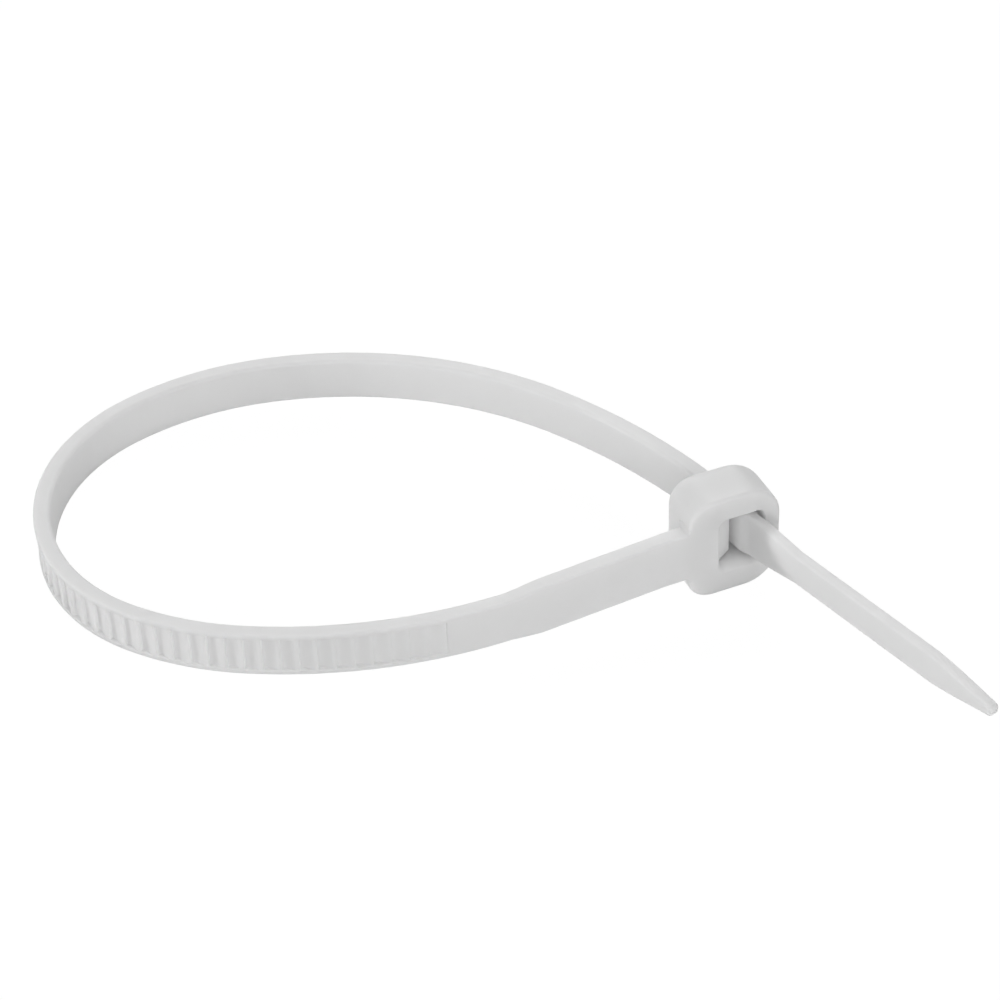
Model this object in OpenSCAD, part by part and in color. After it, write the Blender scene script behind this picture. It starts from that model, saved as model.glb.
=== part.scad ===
// Self-locking nylon cable tie, closed into a loose loop and lying on its side.
// The strap runs once round the loop with its teeth outwards, goes through the head's
// window from inside the loop and ends in a straight tail. It is moulded as one piece.
// The origin is the centre of the loop's round far end. Z runs across the strap.

/* [Strap] */
// Width of the strap
strap_w = 3.6; // [3:0.1:4.8]
// Thickness of the strap over its rails
strap_t = 1.25; // [1:0.05:1.4]
// Bevel along the strap's smooth side
edge_bevel = 0.2; // [0.1:0.05:0.3]
// Bevel along the outer edges of its rails
rail_bevel = 0.1; // [0.05:0.01:0.15]
// Width of the neck's straight stretch, from the head to the first bend
neck_w = 4.2; // [3.8:0.1:4.8]
// Length over which the neck then narrows to the strap
neck_taper = 2.5; // [1.5:0.5:6]
// Length over which the neck's outer side rises to the head's face
neck_ramp = 2; // [1:0.5:4]
// Length of the smooth neck, from the head to the first tooth
neck_len = 19; // [16:0.5:24]

/* [Teeth] */
// Spacing of the teeth
tooth_pitch = 1.27; // [1.1:0.01:1.6]
// Height of a tooth over the floor between the rails
tooth_h = 0.3; // [0.2:0.05:0.4]
// Flat land on top of a tooth
tooth_land = 0.3; // [0.2:0.05:0.4]
// Width of the smooth rail on each side of the teeth
rail_w = 0.4; // [0.3:0.05:0.6]
// How far the rails stand over the teeth
rail_over = 0.05; // [0.03:0.01:0.1]

/* [Loop] */
// Direction in which the neck leaves the head, in degrees from +X
neck_dir = 207; // [200:0.5:212]
// Radius of the front side of the loop
front_r = 36; // [30:0.5:44]
// Turn of the front side
front_turn = 33.5; // [28:0.5:40]
// Radius of the two shoulders beside the far end
shoulder_r = 22; // [17:0.5:26]
// Turn of the front shoulder
front_shoulder_turn = 22.5; // [15:0.5:30]
// Radius of the round far end
end_r = 14.6; // [12:0.1:17]
// Turn of the round far end
end_turn = 112; // [110:1:120]
// Turn of the back shoulder
back_shoulder_turn = 29.5; // [25:0.5:36]
// Radius of the back side of the loop
back_r = 29.5; // [25:0.5:36]
// Turn of the back side
back_turn = 45; // [40:0.5:50]
// Radius of the bend into the head
entry_r = 48; // [40:0.5:60]
// Straight stretch of the strap before the middle of the window
entry_straight = 0.4; // [0.3:0.1:2]

/* [Tail] */
// Length of the tail beyond the middle of the window
tail_len = 25; // [18:0.5:40]
// Angle by which the tail springs back where it leaves the window
tail_bend = 6.5; // [0:0.5:8]
// How far the strap keeps its full width beyond the middle of the window
tail_start = 2.2; // [1.5:0.1:4]
// Length over which it then narrows to the tail
tail_taper = 3.4; // [2:0.1:6]
// Width of the tail
tail_w = 2.65; // [2.2:0.05:3]
// Thickness of the tail
tail_t = 0.8; // [0.7:0.05:0.9]
// Length over which the strap thins to the tail, inside the window
tail_thinning = 1; // [0.6:0.1:2]
// Length of the pointed end
tip_len = 6; // [4:0.5:10]
// Radius of the rounded point
tip_r = 0.45; // [0.3:0.05:0.8]

/* [Head] */
// How far the head reaches from the middle of the window's strap back to the neck
head_back = 5.1; // [4.8:0.1:6]
// Depth of the head, through the window
head_depth = 4.3; // [3.8:0.1:5]
// Width of the head across the strap
head_w = 8.6; // [8.3:0.1:9.4]
// Turn of the head against the neck, with its far end outwards, in degrees
head_turn = 4; // [0:0.5:6]
// Corner radius of the head's face at the neck
near_corner_r = 2; // [1:0.1:2.1]
// Corner radius of the head's face at its far end
far_corner_r = 2.7; // [1.5:0.1:3]
// Radius of the edges round the head's outer face
face_edge_r = 0.3; // [0.2:0.05:0.6]
// Radius of the edges on the loop's side
loop_edge_r = 1.25; // [0.8:0.05:1.6]
// How far the head's outer face stands over the strap's toothed side
head_proud = 0.1; // [0.05:0.05:0.4]
// Wall of the head beyond the window
end_wall = 1.3; // [1:0.05:1.6]
// Length of the window along the neck
window_len = 3.3; // [3.1:0.1:3.5]
// Gap between the strap and the window's walls
window_gap = 0.25; // [0.2:0.05:0.4]
// How far the window's flared mouth reaches beyond it, on the neck's side and across
mouth_reach = 0.45; // [0.3:0.05:0.6]
// Depth of the flared mouth
mouth_depth = 0.8; // [0.6:0.05:1.2]

/* [Pawl] */
// Thickness of the pawl at its tip
pawl_t = 0.7; // [0.5:0.05:0.8]
// Depth of the pawl's root under the head's face
pawl_root = 0.9; // [0.8:0.05:1.3]
// Height of the root on the window's wall
pawl_root_t = 1.3; // [1:0.1:1.6]
// How far the pawl's tip stays under the loop's side
pawl_short = 0.6; // [0.4:0.05:1]
// Number of teeth on the pawl
pawl_teeth = 2; // [1:1:2]
// Gap between the pawl and the window's side walls
pawl_side_gap = 0.25; // [0.15:0.05:0.4]
// Gap between the pawl's teeth and the strap
pawl_gap = 0.15; // [0.1:0.05:0.25]

/* [Hidden] */
nylon = [0.88, 0.88, 0.87];
$fn = 96;
// Overlap of pieces that are moulded together
weld = 0.1;
// How much a joint's sleeve is larger than the strap, far too little to see or feel
sleeve_over = 0.002;
// How far the neck and its ramp go on inside the head
head_root = 0.5;

function dir(a) = [cos(a), sin(a)];
function right(a) = [sin(a), -cos(a)];

// Stretches of the loop from the neck round to the head, each as radius and turn
sides = [
    [front_r, front_turn],
    [shoulder_r, front_shoulder_turn],
    [end_r, end_turn],
    [shoulder_r, back_shoulder_turn],
    [back_r, back_turn]
];

function arc_len(a) = a[0] * a[1] * PI / 180;
function step(r, h, turn) = r * (right(h) - right(h - turn));
function heading(a, i) = i == 0 ? neck_dir : heading(a, i - 1) - a[i - 1][1];
function joint(a, i) = i == 0 ? [0, 0]
    : joint(a, i - 1) + step(a[i - 1][0], heading(a, i - 1), a[i - 1][1]);
function run(a, i) = i == 0 ? 0 : run(a, i - 1) + arc_len(a[i - 1]);

// The bend into the head turns just as far as closes the loop: the strap's middle line
// then meets the neck's line entry_straight after the bend, in the middle of the window
bend_dir = heading(sides, len(sides));
short_by = joint(sides, len(sides)) * right(neck_dir) + entry_r * cos(bend_dir - neck_dir);
corner = atan2(entry_straight, entry_r) + acos(short_by / norm([entry_r, entry_straight]));
tail_dir = neck_dir + corner - 360;
arcs = concat(sides, [[entry_r, bend_dir - tail_dir]]);
n_arcs = len(arcs);
end_centre = joint(arcs, 2) + end_r * right(heading(arcs, 2));
last = joint(arcs, n_arcs);
cross = last + entry_straight * dir(tail_dir);
neck_straight = norm(cross);

// Place on the strap's middle line, s along it from the start of the first arc
function along(s, i = 0) = i == n_arcs ? concat(last + s * dir(tail_dir), tail_dir)
    : s <= arc_len(arcs[i])
    ? let (turned = s / arcs[i][0] * 180 / PI, h = heading(arcs, i))
        concat(joint(arcs, i) + step(arcs[i][0], h, turned), h - turned)
    : along(s - arc_len(arcs[i]), i + 1);

floor_y = strap_t / 2 - rail_over - tooth_h;
groove_w = strap_w - 2 * rail_w;

// The head's own frame has its corner at the neck where the strap's middle line enters it.
// Here x and y are measured from there, plus head_near along x: x runs along the head away
// from the loop, y into the loop. The window's strap crosses it at cross_x, cross_y.
head_near = -head_back;
lean = corner - 90 + head_turn;
cross_x = head_near + head_back * cos(head_turn);
cross_y = head_back * sin(head_turn);
outer_y = -strap_t / 2 - head_proud;
inner_y = outer_y + head_depth;
strap_half = strap_t / 2 / cos(lean);
tail_lean = lean + tail_bend;
tail_far = cross_x + (cross_y - outer_y) * tan(tail_lean) + tail_t / 2 / cos(tail_lean);
window_far = max(cross_x + strap_half, tail_far) + window_gap;
window_near = window_far - window_len;
head_far = window_far + end_wall;
head_len = head_far - head_near;
window_w = strap_w + 2 * window_gap;
// The first tooth's place, past the start of the first arc
teeth_start = neck_len - neck_straight + head_back;

// Strap section, x from the inside of the loop outwards and y across the strap
module strap_section(grooved, width = strap_w, over = 0) {
    t = strap_t / 2 + over;
    w = width / 2 + over;
    g = groove_w / 2 - over;
    f = floor_y + over;
    b = edge_bevel;
    c = rail_bevel;
    below = [[-t, b - w], [b - t, -w], [t - c, -w], [t, c - w]];
    groove = grooved ? [[t, -g], [f, -g], [f, g], [t, g]] : [];
    above = [[t, w - c], [t - c, w], [b - t, w], [-t, w - b]];
    polygon(concat(below, groove, above));
}

module strap_arc(i) {
    h = heading(arcs, i);
    translate(joint(arcs, i) + arcs[i][0] * right(h))
        rotate(h + 90 - arcs[i][1])
            rotate_extrude(angle = arcs[i][1], $fn = 180)
                translate([arcs[i][0], 0])
                    strap_section(true);
}

// Straight strap from a place on, along its heading
module strap_straight(p, a, length, grooved, width = strap_w, over = 0) {
    translate(p)
        rotate(a + 90)
            rotate([90, 0, 0])
                linear_extrude(length)
                    strap_section(grooved, width, over);
}

// A short sleeve round each joint makes the two stretches that meet there one solid
module joint_sleeve(i) {
    h = heading(arcs, i);
    strap_straight(joint(arcs, i) - weld * dir(h), h, 2 * weld, i > 0,
        i == 0 ? neck_w : strap_w, sleeve_over);
}

// Fills the groove between the rails from the neck to the first tooth
module smooth_start() {
    turn = teeth_start / front_r * 180 / PI;
    translate(front_r * right(neck_dir))
        rotate(neck_dir + 90 - turn)
            rotate_extrude(angle = turn, $fn = 180)
                translate([front_r + floor_y - weld, -groove_w / 2 - weld])
                    square([strap_t / 2 - floor_y + weld, groove_w + 2 * weld]);
}

// One tooth, steep towards the neck and sloping towards the tail
module tooth(s) {
    place = along(s);
    top_y = floor_y + tooth_h;
    translate([place[0], place[1], -groove_w / 2 - weld / 2])
        rotate(place[2])
            linear_extrude(groove_w + weld)
                polygon([[0, floor_y - weld], [0, top_y], [tooth_land, top_y],
                    [tooth_pitch - tooth_land, floor_y - weld]]);
}

module teeth() {
    toothed = run(arcs, n_arcs) + entry_straight - teeth_start;
    for (n = [0:floor(toothed / tooth_pitch) - 1])
        tooth(teeth_start + n * tooth_pitch);
}

// The neck keeps its full width up to the first bend, and narrows at the start of that bend
module neck() {
    reach = neck_straight - head_back + head_root;
    strap_straight(-reach * dir(neck_dir), neck_dir, reach, false, neck_w);
    narrow_by = (neck_w - strap_w) / neck_taper;
    turn = (neck_taper + weld) / front_r * 180 / PI;
    intersection() {
        translate(front_r * right(neck_dir))
            rotate(neck_dir + 90 - turn)
                rotate_extrude(angle = turn, $fn = 180)
                    translate([front_r, 0])
                        strap_section(false, neck_w);
        rotate(neck_dir)
            rotate([90, 0, 0])
                translate([0, 0, -neck_w])
                    linear_extrude(2 * neck_w)
                        polygon([[-weld, -neck_w / 2], [0, -neck_w / 2],
                            [2 * neck_taper, narrow_by * neck_taper - neck_w / 2],
                            [2 * neck_taper, neck_w / 2 - narrow_by * neck_taper],
                            [0, neck_w / 2], [-weld, neck_w / 2]]);
    }
}

// The ramp leads the neck's outer side up to the head's face, past that face's rounded edge
module ramp() {
    face_x = face_edge_r + head_root;
    face_y = -strap_t / 2 - head_proud;
    on_face = [face_x * cos(head_turn) + face_y * sin(head_turn),
        face_y * cos(head_turn) - face_x * sin(head_turn)];
    translate([head_near, 0, -neck_w / 2 + rail_bevel])
        linear_extrude(neck_w - 2 * rail_bevel)
            polygon([[-neck_ramp, -strap_t / 2], on_face, [on_face[0], 0], [-neck_ramp, 0]]);
}

module tail() {
    strap_straight(last, tail_dir, entry_straight, true);
    translate(cross)
        rotate(tail_dir + tail_bend)
            intersection() {
                rotate([90, 0, 0])
                    translate([0, 0, -strap_t])
                        linear_extrude(2 * strap_t)
                            tail_outline();
                translate([0, 0, -strap_w])
                    linear_extrude(2 * strap_w)
                        polygon([[-weld, -strap_t / 2], [0, -strap_t / 2], [tail_thinning, -tail_t / 2],
                            [tail_len + weld, -tail_t / 2], [tail_len + weld, tail_t / 2],
                            [tail_thinning, tail_t / 2], [0, strap_t / 2], [-weld, strap_t / 2]]);
            }
}

// The tail seen flat: the full width, the narrow stretch and the point with its small round end
module tail_outline() {
    base_x = tail_len - tip_len;
    point_x = tail_len - tip_r;
    slope = atan2(tail_w / 2 - tip_r, point_x - base_x);
    side = [[-weld, strap_w / 2], [tail_start, strap_w / 2],
        [tail_start + tail_taper, tail_w / 2], [base_x, tail_w / 2],
        [point_x + tip_r * sin(slope), tip_r * cos(slope)]];
    polygon(concat(side, [for (n = [len(side) - 1:-1:0]) [side[n][0], -side[n][1]]]));
    translate([point_x, 0])
        circle(tip_r, $fn = 32);
}

// A rectangle from x = 0 on, with one corner radius at its start and one at its end
module rounded_rectangle(length, width, start_r, end_r) {
    translate([start_r, -width / 2])
        square([length - start_r - end_r, width]);
    for (end = [[0, start_r, start_r], [length - end_r, length - end_r, end_r]]) {
        translate([end[0], end[2] - width / 2])
            square([end[2], width - 2 * end[2]]);
        for (y = [end[2] - width / 2, width / 2 - end[2]])
            translate([end[1], y])
                circle(end[2], $fn = 48);
    }
}

// The block is what its side view, its face and its end view have in common
module head() {
    difference() {
        intersection() {
            translate([(head_near + head_far) / 2, outer_y, -head_w])
                rotate(90)
                    linear_extrude(2 * head_w)
                        rounded_rectangle(head_depth, head_len, face_edge_r, loop_edge_r);
            translate([head_near, inner_y + head_depth, 0])
                rotate([90, 0, 0])
                    linear_extrude(3 * head_depth)
                        rounded_rectangle(head_len, head_w, near_corner_r, far_corner_r);
            translate([head_near - head_len, outer_y, 0])
                rotate([90, 0, 90])
                    linear_extrude(3 * head_len)
                        rounded_rectangle(head_depth, head_w, face_edge_r, loop_edge_r);
        }
        window();
    }
    pawl();
}

// The window goes straight through. Its mouth on the face is flared, but not at the end wall.
module window() {
    translate([window_near, outer_y - weld, -window_w / 2])
        cube([window_len, head_depth + 2 * weld, window_w]);
    mouth_top = outer_y - weld;
    mouth_floor = outer_y + mouth_depth;
    out = mouth_reach * (mouth_depth + weld) / mouth_depth;
    intersection() {
        translate([0, 0, -head_w])
            linear_extrude(2 * head_w)
                polygon([[window_near, mouth_floor], [window_far, mouth_floor],
                    [window_far, mouth_top], [window_near - out, mouth_top]]);
        translate([window_near - head_len, 0, 0])
            rotate([90, 0, 90])
                linear_extrude(3 * head_len)
                    polygon([[mouth_top, -window_w / 2 - out], [mouth_floor, -window_w / 2],
                        [mouth_floor, window_w / 2], [mouth_top, window_w / 2 + out]]);
    }
}

// The pawl leans from the window's near wall towards the strap, with its tip into the loop.
// Its teeth have the strap's pitch and stay pawl_gap away from the strap.
module pawl() {
    pawl_w = window_w - 2 * pawl_side_gap;
    root_y = outer_y + pawl_root;
    tip_y = inner_y - pawl_short;
    wall_x = window_near - weld;
    function face_x(y) = cross_x - (y - cross_y) * tan(lean) - strap_half - pawl_gap;
    teeth_side = [for (n = [pawl_teeth - 1:-1:0], foot = [1, 0])
        let (y = tip_y - n * tooth_pitch - foot * (tooth_pitch - tooth_land))
            [face_x(y) - foot * tooth_h, y]];
    translate([0, 0, -pawl_w / 2])
        linear_extrude(pawl_w)
            polygon(concat([[wall_x, root_y]], teeth_side,
                [[face_x(tip_y) - pawl_t, tip_y], [wall_x, root_y + pawl_root_t]]));
}

module cable_tie() {
    color(nylon)
        translate(-end_centre) {
            for (i = [0:n_arcs - 1])
                strap_arc(i);
            for (i = [0:n_arcs])
                joint_sleeve(i);
            smooth_start();
            teeth();
            neck();
            tail();
            translate(cross)
                rotate(neck_dir - 180) {
                    ramp();
                    translate([head_near, 0])
                        rotate(-head_turn)
                            translate([-head_near, 0])
                                head();
                }
        }
}

cable_tie();
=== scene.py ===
# A small nylon cable tie, closed into a loose loop and lying on its side.
# The strap, head and pawl are worked out as grids and joined into one moulded piece.
import math
import bmesh
import bpy
import numpy as np
from mathutils import Matrix, Vector


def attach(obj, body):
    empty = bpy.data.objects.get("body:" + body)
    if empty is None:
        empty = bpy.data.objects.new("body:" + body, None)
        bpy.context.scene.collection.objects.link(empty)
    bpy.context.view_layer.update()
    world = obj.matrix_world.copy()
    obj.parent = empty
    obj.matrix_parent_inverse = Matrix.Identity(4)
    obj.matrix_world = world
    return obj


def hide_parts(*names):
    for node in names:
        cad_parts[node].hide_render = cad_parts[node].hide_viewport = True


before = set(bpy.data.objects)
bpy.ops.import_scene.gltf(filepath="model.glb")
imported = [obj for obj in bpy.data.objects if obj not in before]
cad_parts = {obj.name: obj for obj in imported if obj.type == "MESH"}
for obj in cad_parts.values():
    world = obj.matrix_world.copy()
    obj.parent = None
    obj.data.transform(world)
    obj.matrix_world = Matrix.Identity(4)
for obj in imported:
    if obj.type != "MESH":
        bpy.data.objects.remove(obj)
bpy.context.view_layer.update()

mm = 0.001
scene = bpy.context.scene
scene.view_settings.view_transform = "Standard"

# Lengths in millimetres and turns in degrees, the same as the solid's
loop = {
    "neckDir": 207,
    "sides": [(36, 33.5), (22, 22.5), (14.6, 112), (22, 29.5), (29.5, 45)],  # radius, turn
    "entryRadius": 48,
    "entryStraight": 0.4,
    "tailBend": 6.5,
    "bendReach": 0.3,
    "tailLength": 25,
}


def rightOf(angle):  # unit vector to the right of a heading: (sin, -cos)
    return np.stack([np.sin(angle), -np.cos(angle)], -1)


def ahead(angle):  # unit vector along a heading: (cos, sin)
    return np.stack([np.cos(angle), np.sin(angle)], -1)


# The bend into the head turns as far as brings the strap's middle line back to the neck's line
neckDir = math.radians(loop["neckDir"])
place, heading = np.zeros(2), neckDir
stretches = []  # start, heading, curvature, length
for radius, turn in loop["sides"]:
    turn = math.radians(turn)
    stretches.append((place, heading, -1 / radius, radius * turn))
    place = place + radius * (rightOf(heading) - rightOf(heading - turn))
    heading -= turn
entry = loop["entryRadius"]
shortBy = place @ rightOf(neckDir) + entry * math.cos(heading - neckDir)
corner = (math.atan2(loop["entryStraight"], entry)
          + math.acos(shortBy / math.hypot(entry, loop["entryStraight"])))
tailDir = neckDir + corner - 2 * math.pi
stretches.append((place, heading, -1 / entry, entry * (heading - tailDir)))
place = place + entry * (rightOf(heading) - rightOf(tailDir))
cross = place + loop["entryStraight"] * ahead(tailDir)  # where the strap's line meets the neck's
neckStraight = float(np.linalg.norm(cross))
endCentre = stretches[2][0] + loop["sides"][2][0] * rightOf(stretches[2][1])

# The tail springs back over a short bend, whose tangents reach bendReach from the crossing
springBack = math.radians(loop["tailBend"])
bendRadius = loop["bendReach"] / math.tan(springBack / 2)
tailHeading = tailDir + springBack
flat = 1e-6  # curvature of a straight stretch
stretches.insert(0, (cross, neckDir, flat, neckStraight))
stretches.append((place, tailDir, flat, loop["entryStraight"] - loop["bendReach"]))
stretches.append((cross - loop["bendReach"] * ahead(tailDir), tailDir, 1 / bendRadius,
                  bendRadius * springBack))
stretches.append((cross + loop["bendReach"] * ahead(tailHeading), tailHeading, flat,
                  loop["tailLength"] - loop["bendReach"]))
starts = np.concatenate([[0], np.cumsum([x[3] for x in stretches])])
pathLength = starts[-1]
crossAt = starts[-2] - loop["bendReach"]  # distance along the path at the crossing
print("path %.1f mm long, the strap meets the neck at %.2f degrees"
      % (pathLength, math.degrees(corner)))


# A point at distance s along the path, in a stretch of heading h and curvature k:
# start + (right(h) - right(h + k s)) / -k, and its heading h + k s
def onPath(s):
    index = np.clip(np.searchsorted(starts, s, side="right") - 1, 0, len(stretches) - 1)
    start = np.array([x[0] for x in stretches])[index]
    h, k = (np.array([x[n] for x in stretches])[index] for n in (1, 2))
    turned = h + k * (s - starts[index])
    return start - (rightOf(h) - rightOf(turned)) / k[:, None] - endCentre, turned


# Corners cut by a quadratic curve, (1-t)^2 a + 2t(1-t) corner + t^2 b, where a and b lie
# at the corner's radius from it, or at 0.45 of the shorter side
def roundCorners(corners, radii, steps):
    before = corners - np.roll(corners, 1, 1)
    after = np.roll(corners, -1, 1) - corners
    lengthBefore = np.maximum(np.linalg.norm(before, axis=2, keepdims=True), 1e-9)
    lengthAfter = np.maximum(np.linalg.norm(after, axis=2, keepdims=True), 1e-9)
    shorter = np.minimum(lengthBefore, lengthAfter)
    reach = np.minimum(np.asarray(radii)[None, :, None], 0.45 * shorter)
    a = (corners - before / lengthBefore * reach)[:, :, None]
    b = (corners + after / lengthAfter * reach)[:, :, None]
    t = np.linspace(0, 1, steps + 1)[None, None, :, None]
    points = (1 - t) ** 2 * a + 2 * t * (1 - t) * corners[:, :, None] + t ** 2 * b
    return points.reshape(len(corners), -1, 2)


# Quads between the rings of a grid, each ring closed. The first and last ring get a lid,
# or are joined to each other.
def meshFromRings(name, points, joined=False):
    rings, around = points.shape[:2]
    ring = np.arange(rings if joined else rings - 1)[:, None]
    column = np.arange(around)[None, :]
    nextRing, nextColumn = (ring + 1) % rings, (column + 1) % around
    quads = np.stack([ring * around + column, ring * around + nextColumn,
                      nextRing * around + nextColumn, nextRing * around + column], -1)
    faces = quads.reshape(-1, 4).tolist()
    if not joined:
        faces += [list(range(around))[::-1], list(range((rings - 1) * around, rings * around))]
    mesh = bpy.data.meshes.new(name)
    mesh.from_pydata((points.reshape(-1, 3) * mm).tolist(), [], faces)
    shape = bmesh.new()
    shape.from_mesh(mesh)
    bmesh.ops.remove_doubles(shape, verts=shape.verts, dist=1e-8)
    bmesh.ops.recalc_face_normals(shape, faces=shape.faces)
    shape.to_mesh(mesh)
    shape.free()
    piece = bpy.data.objects.new(name, mesh)
    scene.collection.objects.link(piece)
    print("%s: %d faces" % (name, len(mesh.polygons)))
    return piece


def smoothStep(x, low, high):  # 3t^2 - 2t^3, with t going from 0 at low to 1 at high
    t = np.clip((x - low) / (high - low), 0, 1)
    return t * t * (3 - 2 * t)


strap = {
    "width": 3.6,
    "thickness": 1.25,
    "bevel": 0.2,
    "railBevel": 0.1,
    "railWidth": 0.4,
    "railOver": 0.05,
    "toothPitch": 1.27,
    "toothHeight": 0.3,
    "toothLand": 0.3,
    "neckWidth": 4.2,
    "neckTaper": 2.5,
    "neckLength": 19,
    "rootDepth": 0.8,    # how far the neck goes on inside the head
    "rootFillet": 0.3,
    "rampLength": 2.0,   # over which the neck's outer side rises to the head's face
    "rampEnd": 0.35,     # how far past the head's edge the ramp reaches,
    "rampOver": 0.003,   # how far it then stands over the face,
    "rampDive": 0.04,    # and over what length it dives under it
    "tailWidth": 2.65,
    "tailThickness": 0.8,
    "thinning": 1.0,     # over which the strap thins to the tail, from the crossing on
    "tailStart": 2.2,
    "tailTaper": 3.4,
    "pointLength": 6.0,
    "pointRadius": 0.45,
    "pointBulge": 1.4,   # 1 gives the point straight sides
    "endRounding": 0.3,
    "endClosing": 0.6,   # share of the tail's thickness that the end's rounding takes
    "step": 0.4,         # between the rings of the smooth stretches
    "fineStep": 0.15,    # and where the strap turns into the tail
    "cornerRadii": [0.1, 0.1, 0.06, 0.06, 0.06, 0.06, 0.05, 0.05, 0.06, 0.06, 0.06, 0.06, 0.1, 0.1],
}
head = {
    "back": 5.1,
    "depth": 4.3,
    "width": 8.6,
    "turn": 4,           # its far end turned outwards against the neck
    "nearCorner": 2.0,   # corner radii of the head's faces, at the neck and at the far end
    "farCorner": 2.7,
    "faceRounding": 0.3,
    "loopRounding": 1.25,
    "proud": 0.1,
    "endWall": 1.3,
    "windowLength": 3.3,
    "windowGap": 0.25,
    "windowCorner": 0.35,
    "mouthReach": 0.45,
    "mouthDepth": 0.8,
    "mouthCurve": 1.4,   # 1 would give the mouth straight sides
    "farMouth": 0.1,     # the mouth's reach at the far end, where the wall is thin
    "innerRim": 0.15,
    "cornerSteps": 12,
    "edgeSteps": 8,
}

# The head's own frame: x along the head away from the loop, y into the loop, z up. It is the
# neck's frame turned about the point where the strap's middle line enters the head.
headTurn = math.radians(head["turn"])
lean = corner - math.pi / 2 + headTurn
tailLean = lean + springBack
headNear = -head["back"]
crossX = headNear + head["back"] * math.cos(headTurn)
crossY = head["back"] * math.sin(headTurn)
outerY = -strap["thickness"] / 2 - head["proud"]
innerY = outerY + head["depth"]
strapHalf = strap["thickness"] / 2 / math.cos(lean)
tailFar = (crossX + (crossY - outerY) * math.tan(tailLean)
           + strap["tailThickness"] / 2 / math.cos(tailLean))
windowFar = max(crossX + strapHalf, tailFar) + head["windowGap"]
windowNear = windowFar - head["windowLength"]
headFar = windowFar + head["endWall"]
windowHalf = strap["width"] / 2 + head["windowGap"]


def fromHead(x, y, z):
    x, y, z = np.broadcast_arrays(x, y, z)
    along = headNear + (x - headNear) * math.cos(headTurn) + y * math.sin(headTurn)
    inward = y * math.cos(headTurn) - (x - headNear) * math.sin(headTurn)
    plan = (cross - along[..., None] * ahead(neckDir) + inward[..., None] * rightOf(neckDir)
            - endCentre)
    return np.concatenate([plan, z[..., None]], -1)


# Distances of one tooth's rows from its steep face, with the tooth's height there as a share
toothRows = np.array([[-0.06, 0], [-0.02, 0.08], [0.0, 0.85], [0.03, 0.97], [0.08, 1],
                      [0.24, 1], [0.32, 0.93], [0.6, 0.5], [0.9, 0.06], [0.98, 0]])


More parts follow.
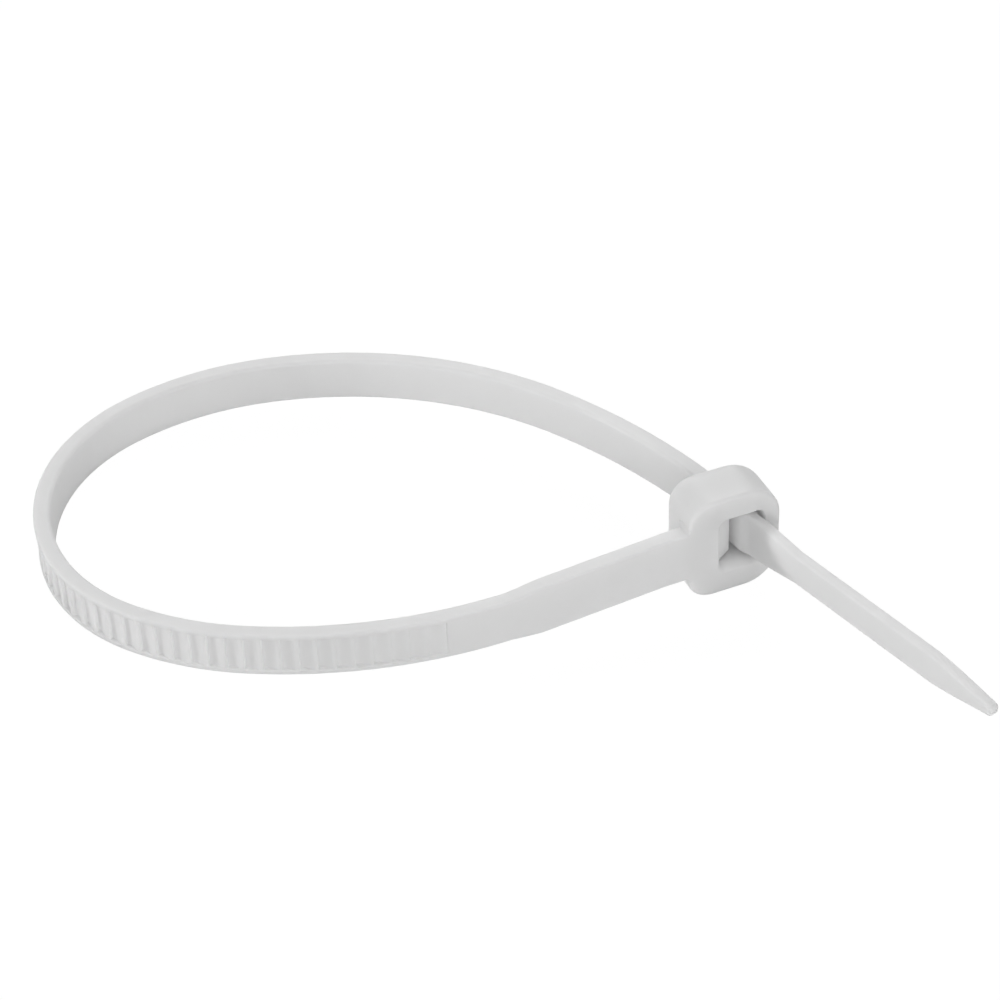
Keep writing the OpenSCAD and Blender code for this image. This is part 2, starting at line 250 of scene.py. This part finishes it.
# Strap, neck and tail as one surface of distance s along the path and place round the section.
# The section's half widths and thicknesses are functions of s, and between the rails the
# outer side follows the teeth.
def makeStrap():
    face = head["back"]
    rampAt = face - strap["rampEnd"]
    diveAt = rampAt - strap["rampDive"]
    firstTooth = face + strap["neckLength"]
    count = int((crossAt - firstTooth) / strap["toothPitch"])
    lastTooth = firstTooth + count * strap["toothPitch"]
    toothAt = firstTooth + np.arange(count)[:, None] * strap["toothPitch"] + toothRows[:, 0]
    toothShare = np.broadcast_to(toothRows[:, 1], toothAt.shape)
    tailEnd = pathLength
    pointAt = tailEnd - strap["pointRadius"]
    roundEnd = tailEnd - strap["pointRadius"] * (1 - np.sin(np.linspace(0, 1, 12) * math.pi / 2))
    s = np.unique(np.round(np.concatenate([
        [face - strap["rootDepth"], diveAt, rampAt, face - 0.15, face],
        face + strap["rootFillet"] * (1 - np.cos(np.linspace(0, 1, 8) * math.pi / 2)),
        np.arange(face + 2 * strap["rootFillet"], firstTooth - 0.2, strap["step"]),
        [firstTooth - 0.1], toothAt[0, 2:], toothAt[1:].ravel(),
        np.arange(lastTooth - 0.2, crossAt + 1.5, strap["fineStep"]),
        np.arange(crossAt + 1.5, pointAt, strap["step"]), roundEnd[:-1]]), 4))

    # The neck keeps its width up to the first bend and then narrows
    width = np.interp(s, [neckStraight, neckStraight + strap["neckTaper"]],
                      [strap["neckWidth"], strap["width"]])
    outer = np.full_like(s, strap["thickness"] / 2)
    inner = outer.copy()
    # Fillet at the root: r - sqrt(r^2 - (r - d)^2) at distance d from the head
    r = strap["rootFillet"]
    swell = r - np.sqrt(r * r - np.clip(r - (s - face), 0, r) ** 2)
    width = width + 2 * swell
    inner = inner + swell
    # The ramp runs straight to the head's face, which the head's turn carries outwards by
    # its tangent for each millimetre, and then dives steeply under it
    meetsFace = -outerY / math.cos(headTurn) + strap["rampEnd"] * math.tan(headTurn)
    outer = np.interp(s, [diveAt, rampAt, face + strap["rampLength"]],
                      [strap["thickness"] / 2, meetsFace + strap["rampOver"],
                       strap["thickness"] / 2])
    # The strap thins to the tail inside the window, and narrows to it outside
    tailShare = np.interp(s, [crossAt + strap["tailStart"],
                              crossAt + strap["tailStart"] + strap["tailTaper"]], [0, 1])
    width = width + (strap["tailWidth"] - strap["width"]) * tailShare
    thinner = (strap["tailThickness"] - strap["thickness"]) / 2 * smoothStep(
        s, crossAt, crossAt + strap["thinning"])
    outer, inner = outer + thinner, inner + thinner
    # The point: sides that draw in slowly at first and run into a circle
    base = tailEnd - strap["pointLength"]
    slope = math.atan2(strap["tailWidth"] / 2 - strap["pointRadius"], pointAt - base)
    meets = pointAt + strap["pointRadius"] * math.sin(slope)
    drawn = np.clip((s - base) / (meets - base), 0, 1) ** strap["pointBulge"]
    side = strap["tailWidth"] + (2 * strap["pointRadius"] * math.cos(slope)
                                 - strap["tailWidth"]) * drawn
    circle = 2 * np.sqrt(np.maximum(strap["pointRadius"] ** 2 - (s - pointAt) ** 2, 1e-6))
    width = np.where(s > meets, circle, np.where(s > base, side, width))
    over = np.clip((s - tailEnd + strap["endRounding"]) / strap["endRounding"], 0, 0.97)
    closing = 1 - np.sqrt(1 - over ** 2)
    closing = strap["endClosing"] * strap["tailThickness"] / 2 * closing
    outer, inner = outer - closing, inner - closing
    # Between the rails: floor plus the tooth's share of its height
    floorY = strap["thickness"] / 2 - strap["railOver"] - strap["toothHeight"]
    order = np.argsort(toothAt.ravel())
    share = np.interp(s, toothAt.ravel()[order], toothShare.ravel()[order])
    middle = floorY + strap["toothHeight"] * share
    smooth = (s < firstTooth - 0.001) | (s > crossAt)
    middle = np.where(smooth, outer, middle)
    # The groove and the bevels shrink with the section, so that its corners keep their order
    half = width / 2
    narrow = np.minimum(inner + outer, half)
    groove = np.minimum(strap["width"] / 2 - strap["railWidth"], 0.78 * half)
    bevel = np.minimum(strap["bevel"], 0.3 * narrow)
    rail = np.minimum(strap["railBevel"], 0.15 * narrow)
    corners = np.stack([np.stack(pair, -1) for pair in (
        (-inner, bevel - half), (bevel - inner, -half), (outer - rail, -half),
        (outer, rail - half), (outer, -groove), (middle, -groove), (middle, -groove / 3),
        (middle, groove / 3), (middle, groove), (outer, groove), (outer, half - rail),
        (outer - rail, half), (bevel - inner, half), (-inner, half - bevel))], 1)
    section = roundCorners(corners, strap["cornerRadii"], 3)
    centre, turned = onPath(s)
    outward = -rightOf(turned)
    plan = centre[:, None] + section[:, :, :1] * outward[:, None]
    return meshFromRings("strap", np.concatenate([plan, section[:, :, 1:]], -1))


# A ring round the window: a rectangle from x0 to x1 and -half to half, with corners rounded
# by near at x0 and far at x1, one ring for each row of the given sizes
def ringOf(x0, x1, half, near, far, y):
    theta = np.linspace(0, math.pi / 2, head["cornerSteps"] + 1)
    rows = []
    for start, sx, sz in ((0, 1, 1), (1, -1, 1), (2, -1, -1), (3, 1, -1)):
        r = (far if sx > 0 else near)[:, None]
        edge = (x1 if sx > 0 else x0)[:, None]
        angle = theta[None] + start * math.pi / 2
        rows.append(np.stack([edge - sx * r + r * np.cos(angle),
                              sz * (half[:, None] - r) + r * np.sin(angle)], -1))
    outline = np.concatenate(rows, 1)
    return fromHead(outline[..., 0], y[:, None], outline[..., 1])


# The head is a grid of rings: down the window's wall, round its rim, over the loop's side,
# round the outside and over the face with the flared mouth, back into the window.
# Each rounding is a quarter circle, r(1 - sin) along the face and r(1 - cos) into the depth.
def makeHead():
    quarter = np.linspace(0, math.pi / 2, head["edgeSteps"] + 1)
    grow, drop = 1 - np.sin(quarter), 1 - np.cos(quarter)
    rim, deep = head["innerRim"], head["mouthDepth"]
    rings = []  # x0, x1, half, near corner, far corner, y

    def windowRing(out, farOut, y):
        r = head["windowCorner"] + out
        rings.append((windowNear - out, windowFar + farOut, windowHalf + out, r, r, y))

    def outsideRing(inset, y):
        rings.append((headNear + inset, headFar - inset, head["width"] / 2 - inset,
                      head["nearCorner"] - 0.8 * inset, head["farCorner"] - 0.8 * inset, y))

    for y in np.linspace(outerY + deep, innerY - rim, 6):
        windowRing(0, 0, y)
    for n in range(1, len(quarter)):
        windowRing(rim * drop[n], rim * drop[n], innerY - rim * grow[n])
    for n in range(len(quarter)):
        outsideRing(head["loopRounding"] * grow[n], innerY - head["loopRounding"] * drop[n])
    for n in range(len(quarter))[::-1]:
        outsideRing(head["faceRounding"] * grow[n], outerY + head["faceRounding"] * drop[n])
    for n in range(len(quarter)):
        t = n / (len(quarter) - 1)
        windowRing(head["mouthReach"] * (1 - t) ** head["mouthCurve"],
                   head["farMouth"] * (1 - t) ** 3,
                   outerY + deep * t * (0.35 + 0.65 * t))
    rings = np.array(rings)
    keep = np.concatenate([[True], np.abs(np.diff(rings, axis=0)).max(1) > 1e-6])
    keep[-1] = False  # the last ring is the first one again
    return meshFromRings("head", ringOf(*rings[keep].T), joined=True)


pawl = {
    "thickness": 0.7,
    "rootDepth": 0.65,   # under the head's face
    "rootThickness": 1.55,
    "tipShort": 0.6,     # how far its tip stays under the loop's side
    "teeth": 2,
    "sideGap": 0.25,
    "strapGap": 0.15,
    "corner": 0.06,
}


# The pawl is its side view carried across the window, drawn in by its corner at both ends
def makePawl():
    root, tip, wall = outerY + pawl["rootDepth"], innerY - pawl["tipShort"], windowNear - 0.1

    def strapSide(y):
        return crossX - (y - crossY) * math.tan(lean) - strapHalf - pawl["strapGap"]

    outline, radii = [(wall, root)], [0.01]
    for n in range(pawl["teeth"])[::-1]:
        crest = tip - n * strap["toothPitch"]
        foot = crest - strap["toothPitch"] + strap["toothLand"]
        outline += [(strapSide(foot) - strap["toothHeight"], foot), (strapSide(crest), crest)]
        radii += [0.1, 0.05]
    outline += [(strapSide(tip) - pawl["thickness"], tip), (wall, root + pawl["rootThickness"])]
    outline = roundCorners(np.array([outline], float), radii + [0.25, 0.01], 4)[0]
    middle = outline.mean(0)
    reach = np.linalg.norm(outline - middle, axis=1, keepdims=True)
    half = windowHalf - pawl["sideGap"]
    turned = np.linspace(0, math.pi / 2, 4)
    inset = pawl["corner"] * (1 - np.sin(turned))
    drawn = pawl["corner"] * (1 - np.cos(turned))
    # The end's inset grows as its place along z nears the full half width
    z = np.concatenate([-half + drawn, half - drawn[::-1]])
    inset = np.concatenate([inset, inset[::-1]])
    rings = outline[None] - (outline - middle)[None] / reach[None] * inset[:, None, None]
    return meshFromRings("pawl", fromHead(rings[..., 0], rings[..., 1], z[:, None]))


strapPiece, headPiece, pawlPiece = makeStrap(), makeHead(), makePawl()


def joinTo(piece, other):  # one closed surface round both pieces
    union = piece.modifiers.new("union", "BOOLEAN")
    union.operation, union.solver, union.object = "UNION", "MANIFOLD", other
    bpy.context.view_layer.update()
    whole = bpy.data.meshes.new_from_object(
        piece.evaluated_get(bpy.context.evaluated_depsgraph_get()))
    piece.modifiers.clear()
    piece.data = whole
    bpy.data.objects.remove(other)


joinTo(headPiece, pawlPiece)
joinTo(headPiece, strapPiece)
tie = headPiece
tie.name = tie.data.name = "nylon_tie"
joining = {
    "mergeWithin": 1e-7,  # metres
    "sharpAngle": 38,     # edges that turn by more are kept sharp
}
shape = bmesh.new()
shape.from_mesh(tie.data)
bmesh.ops.remove_doubles(shape, verts=shape.verts, dist=joining["mergeWithin"])
openEdges = sum(not e.is_manifold for e in shape.edges)
shape.to_mesh(tie.data)
shape.free()
tie.data.shade_smooth()
tie.data.set_sharp_from_angle(angle=math.radians(joining["sharpAngle"]))
shading = tie.modifiers.new("evenShading", "WEIGHTED_NORMAL")
shading.keep_sharp, shading.weight = True, 100
print("tie: %d faces, %d open edges" % (len(tie.data.polygons), openEdges))

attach(tie, "root")
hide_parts("cable_tie")

nylonLook = {
    "color": (0.82, 0.82, 0.82, 1),
    "cloudyColor": (0.79, 0.79, 0.79, 1),
    "cloudScale": 160,
    "roughness": (0.5, 0.62),
    "ior": 1.5,
    "subsurface": 1.0,   # nylon lets light through a little way below its surface
    "subsurfaceScale": 0.0015,
    "grainScale": 5200,
    "grainHeight": 0.000004,
    "waveScale": 520,
    "waveHeight": 0.00005,
}


def addNode(tree, kind, place, **values):
    node = tree.nodes.new(kind)
    node.location = place
    for key, value in values.items():
        if hasattr(node, key):
            setattr(node, key, value)
        else:
            node.inputs[key].default_value = value
    return node


nylon = bpy.data.materials.new("naturalNylon")
nylon.use_nodes = True
tree = nylon.node_tree
surface = tree.nodes["Principled BSDF"]
surface.inputs["Subsurface Weight"].default_value = nylonLook["subsurface"]
surface.inputs["Subsurface Scale"].default_value = nylonLook["subsurfaceScale"]
surface.inputs["Subsurface Radius"].default_value = (1, 1, 1)
surface.inputs["IOR"].default_value = nylonLook["ior"]
coordinates = addNode(tree, "ShaderNodeTexCoord", (-1100, 0))
cloud = addNode(tree, "ShaderNodeTexNoise", (-880, 240), Scale=nylonLook["cloudScale"], Detail=2.0)
grain = addNode(tree, "ShaderNodeTexNoise", (-880, -40), Scale=nylonLook["grainScale"], Detail=1.5)
wave = addNode(tree, "ShaderNodeTexNoise", (-880, -320), Scale=nylonLook["waveScale"], Detail=1.0)
for texture in (cloud, grain, wave):
    tree.links.new(coordinates.outputs["Object"], texture.inputs["Vector"])
tone = addNode(tree, "ShaderNodeMix", (-600, 240), data_type="RGBA")
tone.inputs[6].default_value = nylonLook["color"]
tone.inputs[7].default_value = nylonLook["cloudyColor"]
tree.links.new(cloud.outputs["Fac"], tone.inputs["Factor"])
tree.links.new(tone.outputs[2], surface.inputs["Base Color"])
gloss = addNode(tree, "ShaderNodeMapRange", (-600, 0))
gloss.inputs["To Min"].default_value, gloss.inputs["To Max"].default_value = nylonLook["roughness"]
tree.links.new(cloud.outputs["Fac"], gloss.inputs["Value"])
tree.links.new(gloss.outputs["Result"], surface.inputs["Roughness"])
waveBump = addNode(tree, "ShaderNodeBump", (-360, -300), Distance=nylonLook["waveHeight"])
grainBump = addNode(tree, "ShaderNodeBump", (-160, -200), Distance=nylonLook["grainHeight"])
tree.links.new(wave.outputs["Fac"], waveBump.inputs["Height"])
tree.links.new(grain.outputs["Fac"], grainBump.inputs["Height"])
tree.links.new(waveBump.outputs["Normal"], grainBump.inputs["Normal"])
tree.links.new(grainBump.outputs["Normal"], surface.inputs["Normal"])
tie.data.materials.clear()
tie.data.materials.append(nylon)
print("material", nylon.name)

studio = {
    "floorThrough": (-15.039, 1.614, -1.8),  # the tie rests on its round end and its head
    "floorNormal": (0.05163, -0.00386, 0.99866),
    "floorSize": 1.2,
    "floorColor": (0.85, 0.85, 0.85, 1),
    "shadowShare": 0.05,
    "paperLevel": 1.03,
    "skyStrength": 0.1,
    "lampAim": (0.018, 0, 0),
    "lamps": [  # name, place in metres, size, watts
        ("left", (-0.6, -0.05, 0.18), 0.08, 1.5),  # small, so that its shadow is sharp
        ("front", (0.05, -0.6, 0.2), 0.4, 1.15),
        ("right", (0.4, -0.4, 0.25), 0.4, 0.75),
        ("top", (0.02, -0.05, 0.6), 0.4, 0.5),
        ("back", (0.1, 0.5, 0.4), 0.4, 1.9),
    ],
}

# The floor: a plate through the tie's resting points
normal = Vector(studio["floorNormal"]).normalized()
centre = Vector(studio["floorThrough"]) * mm
turnFlat = normal.to_track_quat("Z", "Y").to_matrix()
reach = studio["floorSize"] / 2
floorMesh = bpy.data.meshes.new("floor")
floorMesh.from_pydata([centre + turnFlat @ Vector((x, y, 0)) for x, y in
                       ((-reach, -reach), (reach, -reach), (reach, reach), (-reach, reach))],
                      [], [(0, 1, 2, 3)])
floor = bpy.data.objects.new("floor", floorMesh)
scene.collection.objects.link(floor)

# White to the camera, but for a share of its own shading that keeps the shadow
paper = bpy.data.materials.new("paper")
paper.use_nodes = True
tree = paper.node_tree
tree.nodes.clear()
shaded = addNode(tree, "ShaderNodeBsdfDiffuse", (-300, 0), Color=studio["floorColor"])
white = addNode(tree, "ShaderNodeEmission", (-300, 200), Color=(1, 1, 1, 1),
                Strength=studio["paperLevel"])
ray = addNode(tree, "ShaderNodeLightPath", (-700, 300))
seen = addNode(tree, "ShaderNodeMath", (-500, 300), operation="MAXIMUM")
tree.links.new(ray.outputs["Is Camera Ray"], seen.inputs[0])
tree.links.new(ray.outputs["Is Glossy Ray"], seen.inputs[1])
share = addNode(tree, "ShaderNodeMath", (-300, 400), operation="MULTIPLY")
share.inputs[1].default_value = 1 - studio["shadowShare"]
tree.links.new(seen.outputs[0], share.inputs[0])
blend = addNode(tree, "ShaderNodeMixShader", (-80, 100))
tree.links.new(share.outputs[0], blend.inputs[0])
tree.links.new(shaded.outputs[0], blend.inputs[1])
tree.links.new(white.outputs[0], blend.inputs[2])
target = addNode(tree, "ShaderNodeOutputMaterial", (120, 100))
tree.links.new(blend.outputs[0], target.inputs["Surface"])
floorMesh.materials.append(paper)

# An even sky, white where the camera looks past the floor
world = bpy.data.worlds.new("studio")
scene.world = world
world.use_nodes = True
tree = world.node_tree
tree.nodes.clear()
sky = addNode(tree, "ShaderNodeBackground", (-200, 0), Color=(1, 1, 1, 1),
              Strength=studio["skyStrength"])
backdrop = addNode(tree, "ShaderNodeBackground", (-200, 160), Color=(1, 1, 1, 1), Strength=1.0)
ray = addNode(tree, "ShaderNodeLightPath", (-600, 300))
blend = addNode(tree, "ShaderNodeMixShader", (0, 80))
tree.links.new(ray.outputs["Is Camera Ray"], blend.inputs[0])
tree.links.new(sky.outputs[0], blend.inputs[1])
tree.links.new(backdrop.outputs[0], blend.inputs[2])
target = addNode(tree, "ShaderNodeOutputWorld", (200, 80))
tree.links.new(blend.outputs[0], target.inputs["Surface"])

for name, at, size, watts in studio["lamps"]:
    light = bpy.data.lights.new(name, "AREA")
    light.shape, light.size, light.energy = "DISK", size, watts
    lamp = bpy.data.objects.new(name, light)
    lamp.location = at
    lookAt = Vector(studio["lampAim"]) - Vector(at)
    lamp.rotation_euler = lookAt.to_track_quat("-Z", "Y").to_euler()
    scene.collection.objects.link(lamp)
print("studio set up")

view = {
    "turn": -0.864,        # about Z, in degrees
    "elevation": 38.899,
    "roll": -2.297,
    "pixelsPerMm": 13.592,
    "focalPixels": 2837.75,
    "frame": 1000,
    "aim": (18.871, -0.046),  # what lies in the middle of the frame, before the turn
    "sensor": 36,
    "clipStart": 0.01,
}
turn, elevation, roll = (math.radians(view[k]) for k in ("turn", "elevation", "roll"))
across = Vector((math.cos(turn), -math.sin(turn), 0))
away = Vector((math.sin(turn), math.cos(turn), 0))
lift = away * math.sin(elevation) + Vector((0, 0, math.cos(elevation)))
right = across * math.cos(roll) + lift * math.sin(roll)
up = lift * math.cos(roll) - across * math.sin(roll)
look = away * math.cos(elevation) - Vector((0, 0, math.sin(elevation)))
aim = (across * view["aim"][0] + away * view["aim"][1]) * mm
distance = view["focalPixels"] / view["pixelsPerMm"] * mm
lens = bpy.data.cameras.new("camera")
lens.sensor_width = view["sensor"]
lens.lens = view["sensor"] * view["focalPixels"] / view["frame"]
lens.clip_start = view["clipStart"]
camera = bpy.data.objects.new("camera", lens)
camera.matrix_world = Matrix.Translation(aim - look * distance) @ Matrix(
    (right, up, -look)).transposed().to_4x4()
scene.collection.objects.link(camera)
scene.camera = camera
print("camera %.0f mm from the tie" % (distance / mm))
